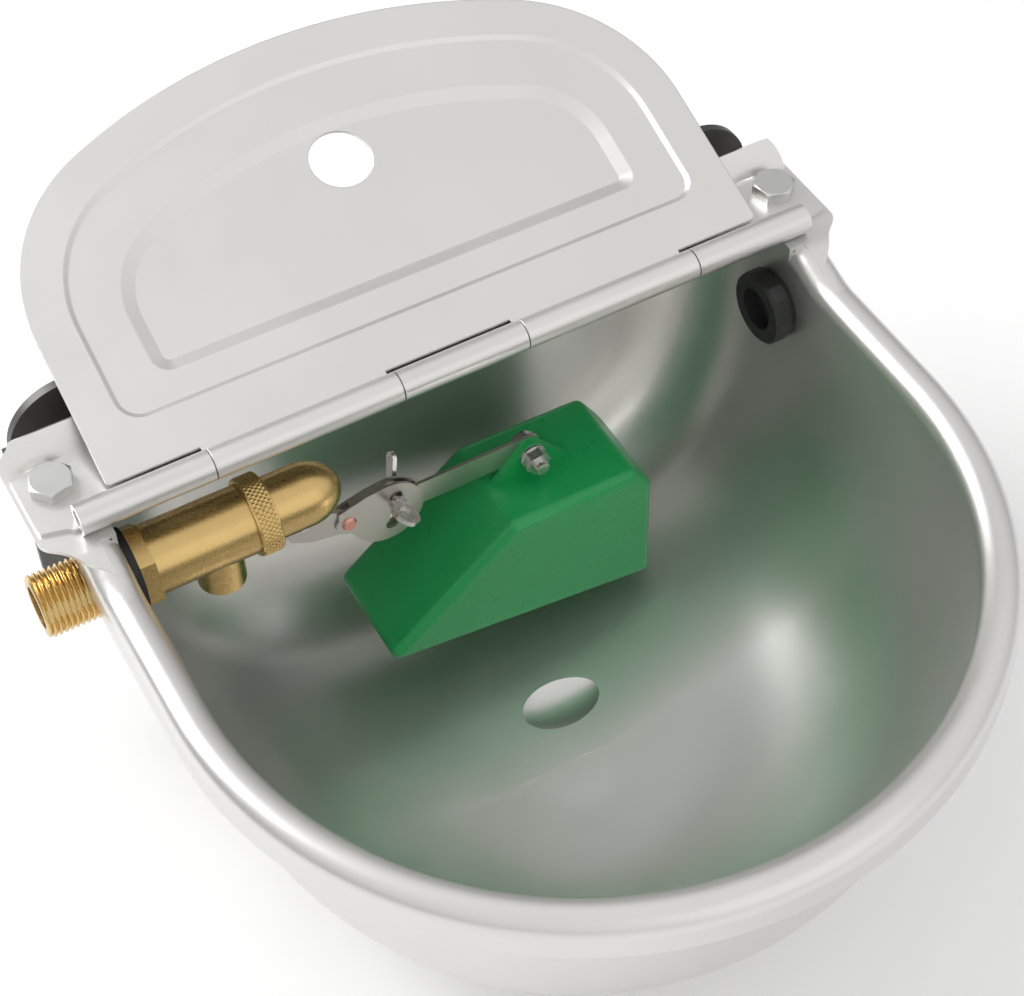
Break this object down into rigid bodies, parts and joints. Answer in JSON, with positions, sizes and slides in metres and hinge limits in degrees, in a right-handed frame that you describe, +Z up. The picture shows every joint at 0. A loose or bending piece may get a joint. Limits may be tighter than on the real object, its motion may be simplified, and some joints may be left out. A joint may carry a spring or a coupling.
{
  "type": "livestock drinking bowl",
  "caption": "Wall-mounted metal drinking bowl for livestock with a lever float valve, a side inlet and a hinged cover.",
  "frame": {"origin": "middle of the four wall holes, on the plane of the wall", "axes": "+X to the right seen from the front, +Y into the wall, +Z up"},
  "size_m": [0.292, 0.332, 0.1807],
  "materials": {
    "stainless": "satin",
    "stainless_bright": "polished",
    "cover_steel": "satin",
    "stamped_steel": "stamped",
    "dark_plate": "satin",
    "zinc_steel": "zinc plated",
    "brass": "machined",
    "copper": "satin",
    "black_rubber": "matte",
    "black_plastic": "matte",
    "white_plastic": "matte",
    "green_plastic": "satin"
  },
  "bodies": {
    "bowl_assembly": {"bowl": "stainless", "hinge_bracket": "stainless", "hinge_pin": "stainless_bright", "wall_plate": "dark_plate", "bracket_bolts": "zinc_steel", "bracket_washers": "zinc_steel", "bracket_nuts": "zinc_steel", "valve_body": "brass", "valve_gasket": "black_rubber", "valve_washer": "zinc_steel", "valve_lock_nut": "brass", "valve_seat": "brass", "dome_seal": "black_rubber", "valve_collar": "brass", "valve_dome": "brass", "lever_pin": "stainless_bright", "side_plug": "black_plastic", "plug_gasket": "black_rubber", "plug_nut": "black_plastic"},
    "cover": {"cover": "cover_steel"},
    "plunger": {"valve_plunger": "white_plastic", "plunger_seal": "black_rubber"},
    "lever": {"valve_lever": "stamped_steel", "arm_rivet": "copper", "eye_screw": "stainless_bright"},
    "wing_nut": {"wing_nut": "stainless_bright"},
    "arm": {"float_arm": "stamped_steel", "float_screw": "stainless_bright", "float_washer": "stainless_bright", "float_nut": "stainless_bright"},
    "float": {"float": "green_plastic"}
  },
  "joints": [
    {"name": "cover_hinge", "type": "hinge", "parent": "bowl_assembly", "child": "cover", "pos_m": [0, -0.047, 0.05631], "axis": [1, 0, 0], "range_deg": [0, 160.5]},
    {"name": "lever_pivot", "type": "hinge", "parent": "bowl_assembly", "child": "lever", "pos_m": [-0.063, -0.049, 0.021], "axis": [0, -1, 0], "range_deg": [0, 17.5]},
    {"name": "plunger_slide", "type": "slide", "parent": "bowl_assembly", "child": "plunger", "axis": [-1, 0, 0], "range_m": [0, 0.00213]},
    {"name": "arm_adjust", "type": "hinge", "parent": "lever", "child": "arm", "pos_m": [-0.0453, -0.049, 0.0064], "axis": [0, -1, 0], "range_deg": [0, 8]},
    {"name": "float_tilt", "type": "hinge", "parent": "arm", "child": "float", "pos_m": [0.022, -0.049, 0.004], "axis": [0, -1, 0], "range_deg": [0, 10]},
    {"name": "wing_nut_turn", "type": "hinge", "parent": "lever", "child": "wing_nut", "pos_m": [-0.0276, -0.049, 0.00655], "axis": [0, 1, 0], "continuous": true}
  ],
  "couplings": [
    {"joint": "plunger_slide", "follows": "lever_pivot", "m_per_rad": 0.006892}
  ]
}
